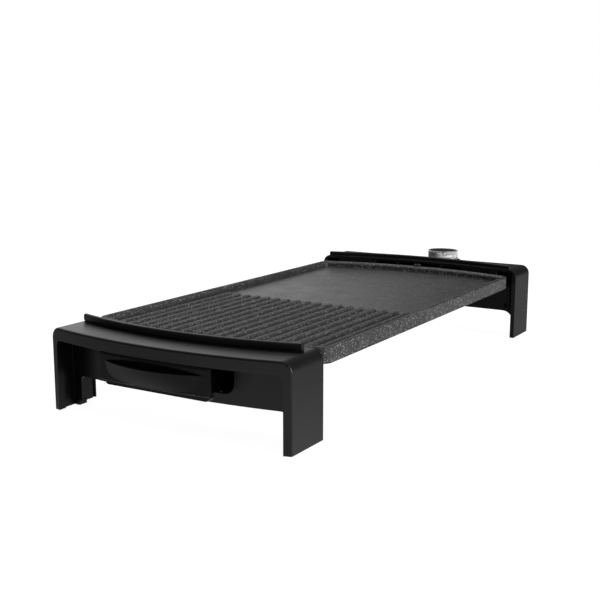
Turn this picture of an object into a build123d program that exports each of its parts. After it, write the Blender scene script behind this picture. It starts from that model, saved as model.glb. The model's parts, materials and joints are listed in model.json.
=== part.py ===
# Electric griddle: a cast plate between two moulded stands, with a drip tray in the front
# stand and a plug-in thermostat with a turning knob behind the rear stand.
# Millimetres, +Z up, the drip tray at -Y, the control end at +Y, the feet on Z = 0.
import os
from math import pi, sqrt

from build123d import *

os.makedirs("parts", exist_ok=True)

# Clearances, and the overlap by which features of one piece run into each other
overlap = 1.0
seat_gap = 0.2
running_gap = 0.3
fit_gap = 0.08

# Griddle plate
plate_width = 256.0
plate_length = 478.0
plate_bow_radius = 420.0
plate_corner_radius = 10.0
plate_base_z = 64.0
plate_height = 14.4
plate_floor = 5.0
plate_wall = 3.5
rim_width = 6.5
rim_height = 7.3
rim_bevel = 2.6
rim_edge_round = 1.2

# Cooking ribs, drain slot and the tab on the far rim
rib_count = 18
rib_pitch = 12.95
rib_width = 8.0
rib_height = 2.9
rib_draft = 24.0
rib_round = 1.8
rib_near_reach = 214.0
rib_far_reach = 22.4
drain_length = 44.0
drain_width = 7.0
drain_reach = 226.0
tab_width = 9.0
tab_height = 2.6

# Lugs that carry the plate in the stands
lug_channel_gap = 3.3
lug_width = 18.0
lug_thickness = 3.3
lug_reach_past_plate = 15.0

# Stands
front_side_margin = 2.0
rear_side_margin = 6.2
stand_overhang = 40.6
stand_depth = 50.2
stand_wall = 5.0
stand_shell = 3.2
stand_side_round = 10.0
front_bow = 16.9
stand_edge_round = 2.0
front_deck_rise = 0.9
rear_deck_rise = 6.3
well_gap = 2.5
well_wall = 2.4
fascia_height = 11.5
fascia_corner_round = 5.5
pillar_width = 7.2
pillar_depth = 11.0
fascia_thickness = 8.0
skirt_setback = 4.0
skirt_thickness = 2.6
skirt_base_z = 36.0
front_wall_setback = 25.6
front_wall_radius = 663.0
front_wall_base_z = 30.8
front_wall_corner = 5.0
leg_rib_depth = 11.5
leg_rib_base_z = 5.4

# Raised lip of the front stand and ridge of the rear stand
lip_bow_radius = 418.0
lip_setback = 31.1
lip_thickness = 4.5
lip_height = 7.5
lip_end_inset = 9.3
lip_groove_height = 1.8
lip_groove_depth = 1.4
lip_round = 2.0
ridge_step = 7.2
ridge_height = 4.9
ridge_end_inset = 8.0

# Vent slots in the wall above the plate's far edge
vent_count = 4
vent_length = 27.0
vent_rib = 4.0
vent_height = 4.0

# Inner covers of the stands
cover_thickness = 3.0
cover_recess = 2.0
cover_groove = 1.6
cover_counterbore = 2.0
cover_base_z = 33.5
cover_horn_z = 24.5
cover_horn_radius = 12.5
cover_slot_width = 2.6
cover_slot_base_z = 36.5
cover_screw_inset = 12.0
cover_screw_z = 40.5
cover_hole_radius = 2.5
cover_boss_size = 9.0
cover_boss_depth = 11.0

# Screws
screw_shank_radius = 1.9
screw_head_radius = 3.6
screw_head_height = 2.4
plate_screw_boss_radius = 5.0
plate_screw_bite = 6.5
cover_screw_head_radius = 2.3
cover_screw_shank_radius = 1.4
cover_screw_bite = 8.0
cover_screw_sink = 1.0

# Rubber feet, under a boss in each leg
foot_proud = 0.8
foot_recess = 1.6
foot_length = 7.0
foot_width = 5.0
foot_corner = 1.5
foot_inset = 7.2
foot_boss_width = 6.5
foot_boss_length = 9.5
foot_boss_height = 4.2

# Drip tray
drawer_width = 120.0
drawer_height = 25.0
drawer_gap = 0.5
drawer_side_gap = 0.8
drawer_proud = 1.0
drawer_back_setback = 7.0
drawer_thickness = 3.4
drawer_box_margin = 3.0
drawer_edge_round = 1.5
pull_width = 113.0
pull_depth = 9.0
pull_drop = 6.7
pull_lip = 1.8
pull_belly_share = 0.62
pull_pocket_depth = 5.5
pull_pocket_height = 13.5
pull_mouth_height = 4.6
tray_width = 100.0
tray_length = 84.0
tray_wall = 1.8
tray_strip_width = 113.0
tray_strip_height = 4.6
tray_strip_reach = 1.0
tray_strip_round = 3.8
tray_corner_radius = 6.0
tray_top_drop = 8.0
tray_window_width = 131.4
tray_window_base_z = 40.0
tray_window_height = 26.6
tray_window_corner = 9.5
channel_wall = 2.0
guide_height = 2.0
guide_width = 2.5

# Heating element under the plate
tube_radius = 3.25
tube_axis_below_base = 3.0
run_pitch = 56.0
near_turn_reach = 172.0
inner_turn_y = 128.0
lead_y = 196.0
lead_radius = 15.0
terminal_spacing = 26.0
terminal_end_setback = 9.0
ridge_width = 14.0
clip_thickness = 1.0
clip_foot = 2.6
clip_length = 8.0
clip_reach = 100.0

# Terminal pins, beads and guard plate
pin_radius = 3.0
pin_length = 46.0
bead_radius = 5.0
bead_length = 14.0
guard_width = 46.0
guard_height = 21.0
guard_thickness = 1.2
probe_boss_width = 13.0
probe_boss_height = 9.5
probe_boss_length = 72.0
probe_boss_proud = 1.0

# Plug-in thermostat
knob_reach_past_stand = 39.4
housing_radius = 24.5
housing_base_z = 44.0
housing_top_z = 77.9
housing_wall = 2.2
housing_edge_round = 3.0
housing_gap = 1.6
neck_width = 45.0
neck_height = 21.0
neck_length = 19.0
window_gap = 1.5
neck_corner = 2.0
probe_radius = 2.5
probe_depth = 62.0
probe_flange_radius = 4.4
probe_flange_length = 2.0
block_length = 20.0
sleeve_wall = 1.4
sleeve_length = 22.0
switch_width = 21.0
switch_length = 24.0
switch_top_drop = 9.5
shell_screw_bite = 9.0
shell_screw_front = 17.0
shell_screw_rear = 12.0
shell_screw_rear_x = 14.5
shell_screw_boss_radius = 3.2
shell_screw_radius = 1.3
shell_screw_head_radius = 2.4
shell_screw_head_height = 2.0
lens_radius = 2.4
lens_proud = 0.9
lens_round = 0.7
lens_offset = 25.5
gland_radius = 6.0
gland_bore_radius = 3.5
gland_proud = 5.0
gland_inset = 6.0
gland_edge_round = 0.8
gland_flange_radius = 7.5
gland_flange_length = 1.6

# Knob
knob_radius = 19.85
knob_height = 11.6
knob_gap = 0.5
knob_ring_wall = 1.6
knob_band = 2.4
knob_rim = 1.0
knob_rib_count = 64
knob_rib_depth = 0.55
knob_dish = 0.9
knob_disc = 3.0
knob_hub_radius = 6.0
shaft_radius = 3.0
shaft_bite = 7.0
shaft_flat = 0.8


# Distance from the griddle's middle to a bowed line, at a given X
def bow_reach(reach, radius, x):
    return reach - radius + sqrt(radius**2 - x**2)


# Places worked out from the sizes above
plate_half = plate_width / 2
plate_end = plate_length / 2
plate_top_z = plate_base_z + plate_height
floor_z = plate_top_z - rim_height
floor_base_z = floor_z - plate_floor
front_half = plate_half + front_side_margin
rear_half = plate_half + rear_side_margin
stand_outer = plate_end + stand_overhang
stand_inner = stand_outer - stand_depth
front_apex = stand_outer + front_bow
front_bow_radius = (front_half**2 + front_bow**2) / (2 * front_bow)
front_deck_z = plate_top_z + front_deck_rise
rear_deck_z = plate_top_z + rear_deck_rise
fascia_base_z = front_deck_z - fascia_height
drawer_top_z = fascia_base_z - drawer_gap
drawer_base_z = drawer_top_z - drawer_height
drawer_apex = front_apex + drawer_proud
drawer_back = front_apex - drawer_back_setback
knob_reach = stand_outer + knob_reach_past_stand
housing_end = knob_reach + housing_radius
terminal_z = plate_base_z - tube_axis_below_base
terminal_end = plate_end - terminal_end_setback

front_inside = front_half - stand_wall
rear_inside = rear_half - stand_wall
wall_depth = skirt_setback + skirt_thickness
lip_reach = front_apex - lip_setback
lip_outer = lip_reach + overlap
lip_half = front_half - lip_end_inset
ridge_reach = plate_end + well_gap + ridge_step + lip_thickness
ridge_half = rear_half - ridge_end_inset
pillar_middle = stand_outer - pillar_depth / 2 - seat_gap
pillar_inset = pillar_width - stand_wall + overlap
fascia_back = front_apex - fascia_thickness
fascia_back_radius = front_bow_radius - fascia_thickness
front_wall_reach = front_apex - front_wall_setback
foot_boss_end = bow_reach(front_wall_reach, front_wall_radius, front_inside)
foot_boss_middle = foot_boss_end - foot_boss_length / 2
lug_boss_z = plate_base_z + lug_thickness + seat_gap
well_base_z = plate_base_z + lug_thickness + 3 * seat_gap
cover_front = stand_inner + cover_recess
cover_back = cover_front + cover_thickness
tray_half = tray_width / 2
tray_base_z = tray_window_base_z + running_gap
tray_strip_base_z = drawer_base_z - tray_strip_height
tray_top_z = drawer_top_z - tray_top_drop
tray_middle = drawer_back - tray_length / 2
channel_inner = cover_back + seat_gap
channel_height = front_deck_z - tray_window_base_z
channel_back = front_wall_reach - skirt_thickness / 2
guide_x = tray_half + drawer_side_gap + guide_width / 2
cover_window_width = tray_width + 2 * drawer_side_gap
cover_window_height = tray_top_z + drawer_side_gap - tray_window_base_z
rear_notch_base_z = terminal_z - guard_height / 2 - window_gap
vent_base_z = plate_top_z - rim_edge_round / 2
window_width = neck_width + 2 * window_gap
window_height = neck_height + 2 * window_gap
clip_span = tube_radius + fit_gap + clip_thickness + clip_foot
pull_top_z = drawer_top_z - pull_drop
pull_base_z = drawer_base_z + drawer_edge_round
pull_belly = pull_belly_share * pull_depth
drawer_bow_radius = front_bow_radius + drawer_proud
pull_root = bow_reach(drawer_apex, drawer_bow_radius, pull_width / 2) - drawer_thickness / 2
pocket_half = pull_width / 2 - pull_lip
pocket_back = drawer_apex - pull_pocket_depth
housing_front = stand_outer + housing_gap
neck_front = stand_outer - neck_length
neck_base_z = terminal_z - neck_height / 2
block_front = neck_front + housing_wall + seat_gap
block_width = neck_width - 2 * (housing_wall + seat_gap)
block_height = neck_height - 2 * (housing_wall + seat_gap)
sleeve_radius = pin_radius + fit_gap + sleeve_wall
switch_top_z = housing_top_z - switch_top_drop
shell_screw_sink = shell_screw_head_height + housing_wall / 4
lens_reach = knob_reach - lens_offset
gland_inner_end = housing_end - gland_inset
knob_base_z = housing_top_z + knob_gap
knob_top_z = knob_base_z + knob_height
knob_bore_radius = knob_radius - knob_ring_wall
shaft_top_z = knob_base_z + shaft_bite

# The origin lies under the middle of the whole length, pull to cord inlet
front_reach = drawer_apex + pull_depth
rear_reach = housing_end + gland_proud
griddle_y = (front_reach - rear_reach) / 2

# Screws of the thermostat, two beside the neck and two in the round end
shell_screw_x = housing_radius - housing_wall - shell_screw_boss_radius - seat_gap
shell_screw_places = [
    (-shell_screw_x, griddle_y + knob_reach - shell_screw_front),
    (shell_screw_x, griddle_y + knob_reach - shell_screw_front),
    (-shell_screw_rear_x, griddle_y + knob_reach + shell_screw_rear),
    (shell_screw_rear_x, griddle_y + knob_reach + shell_screw_rear),
]


# Plan outline with straight sides and two bowed ends
def bowed_plan(half_width, reach, radius, corner):
    side = bow_reach(reach, radius, half_width)
    with BuildSketch(Plane.XY) as plan:
        with BuildLine():
            near_end = ThreePointArc(
                (-half_width, griddle_y - side), (0, griddle_y - reach), (half_width, griddle_y - side)
            )
            right_side = Line(near_end @ 1, (half_width, griddle_y + side))
            far_end = ThreePointArc(right_side @ 1, (0, griddle_y + reach), (-half_width, griddle_y + side))
            Line(far_end @ 1, near_end @ 0)
        make_face()
        fillet(plan.vertices(), radius=corner)
    return plan.sketch


# Plate outline drawn in or out by an inset
def plate_plan(inset):
    return bowed_plan(
        plate_half - inset, plate_end - inset, plate_bow_radius - inset, plate_corner_radius - inset
    )


# Curved strip, its outer bow at a reach on the front (-1) or rear (+1) side
def bowed_strip(side, reach, radius, thickness, half_width):
    inner_reach = reach - thickness
    inner_radius = radius - thickness
    outer_end = griddle_y + side * bow_reach(reach, radius, half_width)
    inner_end = griddle_y + side * bow_reach(inner_reach, inner_radius, half_width)
    with BuildSketch(Plane.XY) as strip:
        with BuildLine():
            outer = ThreePointArc(
                (-half_width, outer_end), (0, griddle_y + side * reach), (half_width, outer_end)
            )
            right_end = Line(outer @ 1, (half_width, inner_end))
            inner = ThreePointArc(
                right_end @ 1, (0, griddle_y + side * inner_reach), (-half_width, inner_end)
            )
            Line(inner @ 1, outer @ 0)
        make_face()
    return strip.sketch


# Area between a straight line and a bowed line further out, on the front side
def bowed_area(straight_reach, reach, radius, half_width):
    side = bow_reach(reach, radius, half_width)
    with BuildSketch(Plane.XY) as area:
        with BuildLine():
            bow = ThreePointArc(
                (-half_width, griddle_y - side), (0, griddle_y - reach), (half_width, griddle_y - side)
            )
            Polyline(
                bow @ 1,
                (half_width, griddle_y - straight_reach),
                (-half_width, griddle_y - straight_reach),
                bow @ 0,
            )
        make_face()
    return area.sketch


# Upright cross-section of a stand, its top corners rounded
def stand_section(half_width, top_z):
    with BuildSketch(Plane.XY) as section:
        with BuildLine():
            FilletPolyline(
                (-half_width, foot_proud),
                (-half_width, top_z),
                (half_width, top_z),
                (half_width, foot_proud),
                radius=stand_side_round,
            )
            Line((-half_width, foot_proud), (half_width, foot_proud))
        make_face()
    return section.sketch


# Front view of an arch between the legs, its top corners rounded
def arch_section(half_width, top_z, corner):
    with BuildSketch(Plane.XY) as section:
        with BuildLine():
            FilletPolyline(
                (-half_width, 0), (-half_width, top_z), (half_width, top_z), (half_width, 0), radius=corner
            )
            Line((-half_width, 0), (half_width, 0))
        make_face()
    return section.sketch


# Plan of the bosses inside one stand's legs that take the feet
def foot_boss_plan(side, half_width):
    boss_middle = half_width - stand_wall - (foot_boss_width - overlap) / 2
    with BuildSketch(Plane.XY) as plan:
        with Locations((0, griddle_y + side * foot_boss_middle)):
            with GridLocations(2 * boss_middle, 1, 2, 1):
                Rectangle(foot_boss_width + overlap, foot_boss_length)
    return plan.sketch


# Plan of the seats of one stand's feet
def foot_seat_plan(side, half_width):
    with BuildSketch(Plane.XY) as plan:
        with Locations((0, griddle_y + side * foot_boss_middle)):
            with GridLocations(2 * (half_width - foot_inset), 1, 2, 1):
                RectangleRounded(
                    foot_width + 2 * seat_gap, foot_length + 2 * seat_gap, radius=foot_corner + seat_gap
                )
    return plan.sketch


# Front view of the grooves in both legs that the edges of an inner cover slide into
def cover_groove_section(half_width):
    inside = half_width - stand_wall
    with BuildSketch(Plane.XY) as section:
        with Locations((0, plate_base_z / 2)):
            Rectangle(2 * (inside + cover_groove), plate_base_z)
            Rectangle(2 * (inside - overlap), plate_base_z, mode=Mode.SUBTRACT)
    return section.sketch


# Wall round the end of the plate, kept inside one stand
def well_section(side, half_width):
    with BuildSketch(Plane.XY) as section:
        add(plate_plan(-well_gap - well_wall))
        add(plate_plan(-well_gap), mode=Mode.SUBTRACT)
        with Locations((0, griddle_y + side * (stand_inner + stand_depth / 2))):
            Rectangle(2 * (half_width - stand_wall), stand_depth, mode=Mode.INTERSECT)
    return section.sketch


# Front view of an inner cover, with a horn at each leg and a slot above it
def cover_section(stand_half):
    half_width = stand_half - stand_wall + cover_groove - seat_gap
    slot_half = stand_half - stand_wall - cover_slot_width
    base_half = half_width - cover_horn_radius
    top_z = plate_base_z - seat_gap
    with BuildSketch(Plane.XY) as section:
        with BuildLine():
            base = Line((-base_half, cover_base_z), (base_half, cover_base_z))
            right_horn = TangentArc(base @ 1, (half_width, cover_horn_z), tangent=(1, 0))
            left_horn = TangentArc(base @ 0, (-half_width, cover_horn_z), tangent=(-1, 0))
            Polyline(
                right_horn @ 1,
                (half_width, cover_slot_base_z),
                (slot_half, cover_slot_base_z),
                (slot_half, top_z),
                (-slot_half, top_z),
                (-slot_half, cover_slot_base_z),
                (-half_width, cover_slot_base_z),
                left_horn @ 1,
            )
        make_face()
    return section.sketch


# Screw bosses of a cover, joined to the leg walls
def cover_boss_section(half_width):
    inside = half_width - stand_wall
    inner_x = half_width - cover_screw_inset - cover_boss_size / 2
    with BuildSketch(Plane.XY) as section:
        with Locations((0, cover_screw_z)):
            with GridLocations(inner_x + inside, 1, 2, 1):
                Rectangle(inside - inner_x + overlap, cover_boss_size)
    return section.sketch


# Round holes or heads at the places of a cover's two screws
def cover_screw_section(half_width, radius):
    with BuildSketch(Plane.XY) as section:
        with Locations((0, cover_screw_z)):
            with GridLocations(2 * (half_width - cover_screw_inset), 1, 2, 1):
                Circle(radius)
    return section.sketch


# Crescent in plan on the drawer front, from a straight root out to a bulge past its face
def crescent(half_width, root_reach, bulge):
    tip_y = griddle_y - root_reach
    with BuildSketch(Plane.XY) as plan:
        with BuildLine():
            ThreePointArc((-half_width, tip_y), (0, griddle_y - drawer_apex - bulge), (half_width, tip_y))
            Line((half_width, tip_y), (-half_width, tip_y))
        make_face()
    return plan.sketch


# Plan of the thermostat housing, round about the knob
def housing_plan(inset):
    with BuildSketch(Plane.XY) as plan:
        with Locations((0, griddle_y + (housing_front + inset + knob_reach) / 2)):
            Rectangle(2 * (housing_radius - inset), knob_reach - housing_front - inset)
        with Locations((0, griddle_y + knob_reach)):
            Circle(housing_radius - inset)
    return plan.sketch


# Plan of the neck that reaches through the rear stand
def neck_plan(inset):
    neck_end = housing_front + 2 * housing_wall
    with BuildSketch(Plane.XY) as plan:
        with Locations((0, griddle_y + (neck_front + inset + neck_end) / 2)):
            Rectangle(neck_width - 2 * inset, neck_end - neck_front - inset)
    return plan.sketch


# Holes in the front of the neck for the pins and the probe
def socket_section():
    with BuildSketch(Plane.XY) as section:
        with Locations((0, terminal_z)):
            with GridLocations(terminal_spacing, 1, 2, 1):
                Circle(pin_radius + 2 * running_gap)
            Circle(probe_radius + running_gap)
    return section.sketch


# Griddle plate
rib_length = rib_near_reach - rib_far_reach
rib_middle_y = griddle_y - (rib_near_reach + rib_far_reach) / 2
lug_offset = tray_window_width / 2 + channel_wall + plate_screw_boss_radius + lug_channel_gap
lug_length = lug_reach_past_plate + plate_wall
lug_end = plate_end + lug_reach_past_plate - lug_width / 2
lug_middle = lug_end - lug_length / 2
ridge_base_z = terminal_z
groove_width = 2 * (tube_radius + fit_gap)
groove_top_z = terminal_z + tube_radius + fit_gap
probe_boss_end = plate_end + probe_boss_proud
probe_boss_base_z = floor_base_z - probe_boss_height
probe_tip = probe_boss_end - probe_depth + running_gap
tab_depth = rim_width - rim_bevel - rim_edge_round

# Centre line of the heating element, from one terminal round to the other
outer_run_x = 1.5 * run_pitch
inner_run_x = 0.5 * run_pitch
turn_radius = 0.49 * run_pitch
terminal_x = terminal_spacing / 2
lead_end_y = griddle_y + terminal_end
element_points = [
    (-terminal_x, lead_end_y),
    (-terminal_x, griddle_y + lead_y),
    (-outer_run_x, griddle_y + lead_y),
    (-outer_run_x, griddle_y - near_turn_reach),
    (-inner_run_x, griddle_y - near_turn_reach),
    (-inner_run_x, griddle_y + inner_turn_y),
    (inner_run_x, griddle_y + inner_turn_y),
    (inner_run_x, griddle_y - near_turn_reach),
    (outer_run_x, griddle_y - near_turn_reach),
    (outer_run_x, griddle_y + lead_y),
    (terminal_x, griddle_y + lead_y),
    (terminal_x, lead_end_y),
]
element_radii = [lead_radius] * 2 + [turn_radius] * 6 + [lead_radius] * 2

with BuildPart() as cooking_ribs:
    with BuildSketch(Plane.XY.offset(floor_z)):
        with Locations((0, rib_middle_y)):
            with GridLocations(rib_pitch, 1, rib_count, 1):
                SlotOverall(rib_length, rib_width, rotation=90)
    extrude(amount=rib_height, taper=rib_draft)
    fillet(cooking_ribs.faces().filter_by(Axis.Z).group_by(Axis.Z)[-1].edges(), radius=rib_round)

with BuildPart() as griddle_plate:
    with BuildSketch(Plane.XY.offset(plate_base_z)):
        add(plate_plan(0))
    extrude(amount=plate_height)
    fillet(griddle_plate.faces().sort_by(Axis.Z)[-1].edges(), radius=rim_edge_round)
    with BuildSketch(Plane.XY.offset(plate_top_z)):
        add(plate_plan(rim_width))
    extrude(amount=-rim_height, mode=Mode.SUBTRACT)
    rim_top = griddle_plate.faces().filter_by(Axis.Z).sort_by(Axis.Z)[-1]
    chamfer(rim_top.inner_wires()[0].edges(), length=rim_bevel)
    with BuildSketch(Plane.XY.offset(plate_base_z)):
        add(plate_plan(plate_wall))
    extrude(amount=floor_base_z - plate_base_z, mode=Mode.SUBTRACT)
    add(cooking_ribs.part)
    # Drain slot
    with BuildSketch(Plane.XY.offset(floor_z)):
        with Locations((0, griddle_y - drain_reach)):
            SlotOverall(drain_length, drain_width)
    extrude(amount=-plate_floor, mode=Mode.SUBTRACT)
    # Lugs held by the stands
    with BuildSketch(Plane.XY.offset(plate_base_z)):
        with Locations((0, griddle_y)):
            with GridLocations(2 * lug_offset, 2 * lug_end, 2, 2):
                Circle(lug_width / 2)
            with GridLocations(2 * lug_offset, 2 * lug_middle, 2, 2):
                Rectangle(lug_width, lug_length)
            with GridLocations(2 * lug_offset, 2 * lug_end, 2, 2):
                Circle(screw_shank_radius + running_gap, mode=Mode.SUBTRACT)
    extrude(amount=lug_thickness)
    # Ridge under the floor with the groove for the heating element
    with BuildSketch(Plane.XY.offset(ridge_base_z)):
        with BuildLine():
            FilletPolyline(*element_points, radius=element_radii)
        trace(line_width=ridge_width)
    extrude(amount=floor_base_z - ridge_base_z)
    # Boss for the thermostat's probe
    with BuildSketch(Plane.XY.offset(probe_boss_base_z)):
        with Locations((0, griddle_y + probe_boss_end - probe_boss_length / 2)):
            Rectangle(probe_boss_width, probe_boss_length)
    extrude(amount=probe_boss_height)
    with BuildSketch(Plane.XY.offset(ridge_base_z)):
        with BuildLine():
            FilletPolyline(*element_points, radius=element_radii)
        trace(line_width=groove_width)
    extrude(amount=groove_top_z - ridge_base_z, mode=Mode.SUBTRACT)
    with BuildSketch(Plane.XZ.offset(-(griddle_y + terminal_end))):
        with GridLocations(terminal_spacing, 1, 2, 1):
            with Locations((0, terminal_z)):
                Circle(bead_radius + running_gap)
    extrude(amount=-2 * terminal_end_setback, mode=Mode.SUBTRACT)
    with BuildSketch(Plane.XZ.offset(-(griddle_y + probe_boss_end))):
        with Locations((0, terminal_z)):
            Circle(probe_radius + fit_gap)
    extrude(amount=probe_depth, mode=Mode.SUBTRACT)
    # Locating tab on the far rim
    with BuildSketch(Plane.XY.offset(plate_top_z - rim_edge_round)):
        with Locations((0, griddle_y + plate_end - rim_edge_round - tab_depth / 2)):
            RectangleRounded(tab_width, tab_depth, radius=tab_depth / 3)
    extrude(amount=tab_height + rim_edge_round)
griddle_plate.part.label = "griddle_plate"
export_step(griddle_plate.part, "parts/griddle_plate.step")

# Heating element
with BuildPart() as heating_element:
    with BuildLine(Plane.XY.offset(terminal_z)) as element_path:
        FilletPolyline(*element_points, radius=element_radii)
    with BuildSketch(Plane.XZ.offset(-lead_end_y)):
        with Locations((-terminal_x, terminal_z)):
            Circle(tube_radius)
    sweep(path=element_path.wire())
heating_element.part.label = "heating_element"
export_step(heating_element.part, "parts/heating_element.step")

# Omega clips over the heating element, standing on the ridge
with BuildPart() as element_clips:
    for run_x in (-outer_run_x, -inner_run_x, inner_run_x, outer_run_x):
        for clip_y in (griddle_y - clip_reach, griddle_y + clip_reach - run_pitch):
            with BuildSketch(Plane.XZ.offset(-clip_y)):
                with Locations((run_x, terminal_z)):
                    Circle(tube_radius + fit_gap + clip_thickness)
                    Rectangle(2 * clip_span, 2 * clip_thickness)
                    Circle(tube_radius + fit_gap, mode=Mode.SUBTRACT)
                    with Locations((0, clip_span)):
                        Rectangle(2 * clip_span, 2 * clip_span, mode=Mode.SUBTRACT)
            extrude(amount=clip_length / 2, both=True)
element_clips.part.label = "element_clips"
export_step(element_clips.part, "parts/element_clips.step")

# Terminal pins at the ends of the heating element
with BuildPart() as terminal_pins:
    with BuildSketch(Plane.XZ.offset(-lead_end_y)):
        with Locations((0, terminal_z)):
            with GridLocations(terminal_spacing, 1, 2, 1):
                Circle(pin_radius)
    extrude(amount=-pin_length)
    chamfer(terminal_pins.faces().sort_by(Axis.Y)[-2:].edges(), length=pin_radius / 4)
terminal_pins.part.label = "terminal_pins"
export_step(terminal_pins.part, "parts/terminal_pins.step")

# Ceramic beads round the pins
with BuildPart() as terminal_beads:
    with BuildSketch(Plane.XZ.offset(-lead_end_y)):
        with Locations((0, terminal_z)):
            with GridLocations(terminal_spacing, 1, 2, 1):
                Circle(bead_radius)
                Circle(pin_radius + fit_gap, mode=Mode.SUBTRACT)
    extrude(amount=-bead_length)
terminal_beads.part.label = "terminal_beads"
export_step(terminal_beads.part, "parts/terminal_beads.step")

# Guard plate that carries the beads on the end of the probe boss
with BuildPart() as terminal_guard:
    with BuildSketch(Plane.XZ.offset(-(griddle_y + probe_boss_end))):
        with Locations((0, terminal_z)):
            RectangleRounded(guard_width, guard_height, radius=guard_height / 5)
            with GridLocations(terminal_spacing, 1, 2, 1):
                Circle(bead_radius + fit_gap, mode=Mode.SUBTRACT)
            Circle(probe_radius + running_gap, mode=Mode.SUBTRACT)
    extrude(amount=-guard_thickness)
terminal_guard.part.label = "terminal_guard"
export_step(terminal_guard.part, "parts/terminal_guard.step")

# Front stand: its recessed wall, with an arch below and a window for the drip tray
with BuildPart() as front_wall:
    with BuildSketch(Plane.XY.offset(leg_rib_base_z)):
        add(bowed_strip(-1, front_wall_reach, front_wall_radius, skirt_thickness, front_inside + overlap))
    extrude(amount=front_deck_z - stand_shell + overlap - leg_rib_base_z)
    with BuildSketch(Plane.XZ.offset(-(griddle_y - stand_inner))):
        add(arch_section(front_inside - leg_rib_depth, front_wall_base_z, front_wall_corner))
        with Locations((0, tray_window_base_z + tray_window_height / 2)):
            RectangleRounded(tray_window_width, tray_window_height, radius=tray_window_corner)
    extrude(amount=stand_depth + front_bow, mode=Mode.SUBTRACT)

# Channel behind the window, in which the drip tray slides between two guides
with BuildPart() as tray_channel:
    with BuildSketch(Plane.XZ.offset(-(griddle_y - channel_inner))):
        with Locations((0, tray_window_base_z + channel_height)):
            RectangleRounded(
                tray_window_width + 2 * channel_wall,
                2 * (channel_height + channel_wall),
                radius=tray_window_corner + channel_wall,
            )
            RectangleRounded(
                tray_window_width, 2 * channel_height, radius=tray_window_corner, mode=Mode.SUBTRACT
            )
        with Locations((0, tray_window_base_z + (guide_height - overlap) / 2)):
            with GridLocations(2 * guide_x, 1, 2, 1):
                Rectangle(guide_width, guide_height + overlap)
    extrude(amount=front_wall_reach - channel_inner)
    with BuildSketch(Plane.XY):
        add(bowed_area(stand_inner, channel_back, front_wall_radius - skirt_thickness / 2, front_half))
    extrude(amount=plate_base_z - running_gap, mode=Mode.INTERSECT)

with BuildPart() as front_lip:
    with BuildSketch(Plane.XY.offset(front_deck_z)):
        add(bowed_strip(-1, lip_reach, lip_bow_radius, lip_thickness, lip_half))
    extrude(amount=lip_height)
    fillet(front_lip.edges().filter_by(Axis.Z), radius=lip_round)
    fillet(front_lip.faces().sort_by(Axis.Z)[-1].edges(), radius=lip_round)
    with BuildSketch(Plane.XY.offset(front_deck_z)):
        add(bowed_strip(-1, lip_outer, lip_bow_radius + overlap, lip_groove_depth + overlap, front_half))
    extrude(amount=lip_groove_height, mode=Mode.SUBTRACT)

with BuildPart() as front_stand:
    with BuildSketch(Plane.XZ.offset(-(griddle_y - stand_inner))):
        add(stand_section(front_half, front_deck_z))
    extrude(amount=stand_depth + front_bow)
    with BuildSketch(Plane.XY):
        add(bowed_area(stand_inner, front_apex, front_bow_radius, front_half))
    extrude(amount=front_deck_z, mode=Mode.INTERSECT)
    front_outline = front_stand.faces().sort_by(Axis.Y)[0].edges().sort_by(Axis.Z)[1:]
    fillet(front_outline, radius=stand_edge_round)
    # Hollow, open below and towards the plate, behind a bowed frame of fascia and pillars
    with BuildSketch(Plane.XY):
        add(bowed_area(stand_inner - overlap, fascia_back, fascia_back_radius, front_inside))
    extrude(amount=front_deck_z - stand_shell, mode=Mode.SUBTRACT)
    with BuildSketch(Plane.XZ.offset(-(griddle_y - stand_inner))):
        add(arch_section(front_half - pillar_width, fascia_base_z, fascia_corner_round))
    extrude(amount=stand_depth + front_bow, mode=Mode.SUBTRACT)
    add(front_wall.part)
    add(tray_channel.part)
    # Bosses for the feet and grooves for the inner cover
    with BuildSketch(Plane.XY.offset(foot_proud)):
        add(foot_boss_plan(-1, front_half))
    extrude(amount=foot_boss_height)
    with BuildSketch(Plane.XY.offset(foot_proud)):
        add(foot_seat_plan(-1, front_half))
    extrude(amount=foot_recess, mode=Mode.SUBTRACT)
    with BuildSketch(Plane.XZ.offset(-(griddle_y - cover_front + seat_gap))):
        add(cover_groove_section(front_half))
    extrude(amount=cover_thickness + 2 * seat_gap, mode=Mode.SUBTRACT)
    # Well for the plate, with its wall, lug bosses and cover bosses
    with BuildSketch(Plane.XY.offset(plate_base_z)):
        add(plate_plan(-well_gap))
    extrude(amount=plate_height + rear_deck_rise, mode=Mode.SUBTRACT)
    with BuildSketch(Plane.XY.offset(well_base_z)):
        add(well_section(-1, front_half))
    extrude(amount=front_deck_z - stand_shell - well_base_z)
    with BuildSketch(Plane.XY.offset(lug_boss_z)):
        with Locations((0, griddle_y - lug_end)):
            with GridLocations(2 * lug_offset, 1, 2, 1):
                Circle(plate_screw_boss_radius)
    extrude(amount=front_deck_z - stand_shell - lug_boss_z)
    with BuildSketch(Plane.XY.offset(lug_boss_z)):
        with Locations((0, griddle_y - lug_end)):
            with GridLocations(2 * lug_offset, 1, 2, 1):
                Circle(screw_shank_radius + fit_gap)
    extrude(amount=plate_screw_bite, mode=Mode.SUBTRACT)
    with BuildSketch(Plane.XZ.offset(-(griddle_y - cover_back))):
        add(cover_boss_section(front_half))
    extrude(amount=cover_boss_depth)
    with BuildSketch(Plane.XZ.offset(-(griddle_y - cover_back))):
        add(cover_screw_section(front_half, cover_screw_shank_radius + fit_gap))
    extrude(amount=cover_screw_bite, mode=Mode.SUBTRACT)
    add(front_lip.part)
front_stand.part.label = "front_stand"
export_step(front_stand.part, "parts/front_stand.step")

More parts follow.
